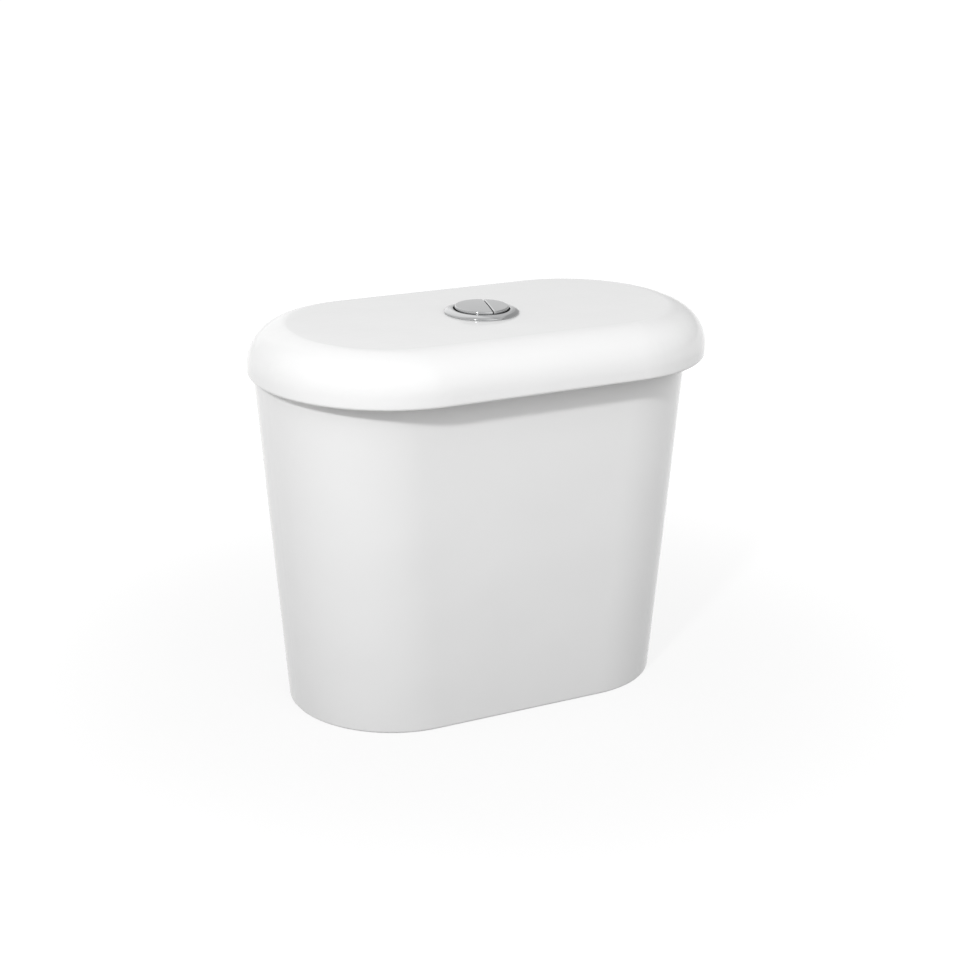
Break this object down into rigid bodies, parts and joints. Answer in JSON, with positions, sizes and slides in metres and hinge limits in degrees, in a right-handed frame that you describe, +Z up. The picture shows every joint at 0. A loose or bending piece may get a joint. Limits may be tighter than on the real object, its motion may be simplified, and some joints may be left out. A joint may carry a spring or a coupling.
{
  "type": "toilet cistern",
  "caption": "White glazed china close-coupled toilet cistern with a lift-off lid, dual-flush button, flush valve and float-operated fill valve.",
  "frame": {"origin": "on the plane of the tank's foot rim, under the middle of the lid", "axes": "+X across the width towards the inlet side, +Y towards the wall behind, +Z up; the front faces -Y"},
  "size_m": [0.39, 0.222, 0.3275],
  "materials": {
    "china": "smooth white glaze, high gloss",
    "chrome": "bright chrome plate",
    "white_plastic": "moulded, satin",
    "grey_plastic": "moulded, satin",
    "blue_plastic": "moulded, half gloss",
    "black_rubber": "matt moulded rubber",
    "sponge_rubber": "cellular sponge rubber",
    "clear_hose": "soft cloudy hose",
    "brass": "turned brass",
    "steel": "drawn stainless wire and pins"
  },
  "bodies": {
    "tank": {"tank": "china", "flush_valve_base": "white_plastic", "flush_base_washer": "black_rubber", "flush_back_nut": "white_plastic", "coupling_gasket": "sponge_rubber", "flush_valve_cage": "white_plastic", "lever_tower": "white_plastic", "flush_lever_pins": "steel", "inlet_shank": "brass", "inlet_cone_washer": "black_rubber", "inlet_back_nut": "brass", "inlet_strainer": "grey_plastic", "fill_riser": "white_plastic", "fill_valve_head": "white_plastic", "fill_diaphragm": "black_rubber", "fill_valve_cap": "blue_plastic", "fill_lever_pin": "steel", "refill_hose": "clear_hose", "refill_hose_clip": "grey_plastic"},
    "lid": {"lid": "china", "lid_buffers": "clear_hose", "button_rosette": "chrome", "button_barrel": "white_plastic", "barrel_washer": "black_rubber", "barrel_lock_nut": "white_plastic"},
    "full_button": {"full_flush_button": "chrome", "full_push_rod": "white_plastic", "full_button_spring": "steel"},
    "half_button": {"half_flush_button": "chrome", "half_push_rod": "white_plastic", "half_button_spring": "steel"},
    "full_lever": {"full_flush_lever": "blue_plastic"},
    "half_lever": {"half_flush_lever": "grey_plastic"},
    "flush_piston": {"overflow_tube": "white_plastic", "flush_seal": "black_rubber", "seal_retainer": "white_plastic", "piston_float": "grey_plastic", "lift_frame": "blue_plastic", "lift_hooks": "white_plastic"},
    "float": {"float_cup": "grey_plastic", "float_link_rod": "steel", "float_adjuster": "blue_plastic"},
    "float_lever": {"fill_lever": "grey_plastic"}
  },
  "joints": [
    {"name": "lid_lift", "type": "slide", "parent": "tank", "child": "lid", "axis": [0, 0, 1], "range_m": [0, 0.15]},
    {"name": "full_button_press", "type": "slide", "parent": "lid", "child": "full_button", "axis": [0, 0, -1], "range_m": [0, 0.007], "stiffness_N_per_m": 400, "springref_m": -0.012, "deforming": ["full_button_spring"]},
    {"name": "half_button_press", "type": "slide", "parent": "lid", "child": "half_button", "axis": [0, 0, -1], "range_m": [0, 0.007], "stiffness_N_per_m": 300, "springref_m": -0.01, "deforming": ["half_button_spring"]},
    {"name": "full_lever_turn", "type": "hinge", "parent": "tank", "child": "full_lever", "pos_m": [-0.029, 0, 0.246], "axis": [0, 1, 0], "range_deg": [0, 25.28]},
    {"name": "half_lever_turn", "type": "hinge", "parent": "tank", "child": "half_lever", "pos_m": [0.029, 0, 0.246], "axis": [0, -1, 0], "range_deg": [0, 25.28]},
    {"name": "piston_lift", "type": "slide", "parent": "tank", "child": "flush_piston", "axis": [0, 0, 1], "range_m": [0, 0.00788]},
    {"name": "float_rise", "type": "slide", "parent": "tank", "child": "float", "axis": [0, 0, 1], "range_m": [0, 0.012]},
    {"name": "float_lever_turn", "type": "hinge", "parent": "tank", "child": "float_lever", "pos_m": [0.10677, 0.009, 0.268], "axis": [0, -1, 0], "range_deg": [0, 23.08]}
  ],
  "couplings": [
    {"joint": "full_lever_turn", "follows": "full_button_press", "rad_per_m": 63.01},
    {"joint": "piston_lift", "follows": "full_button_press", "ratio": 1.125},
    {"joint": "half_lever_turn", "follows": "half_button_press", "rad_per_m": 63.01},
    {"joint": "float_lever_turn", "follows": "float_rise", "rad_per_m": 33.56}
  ]
}
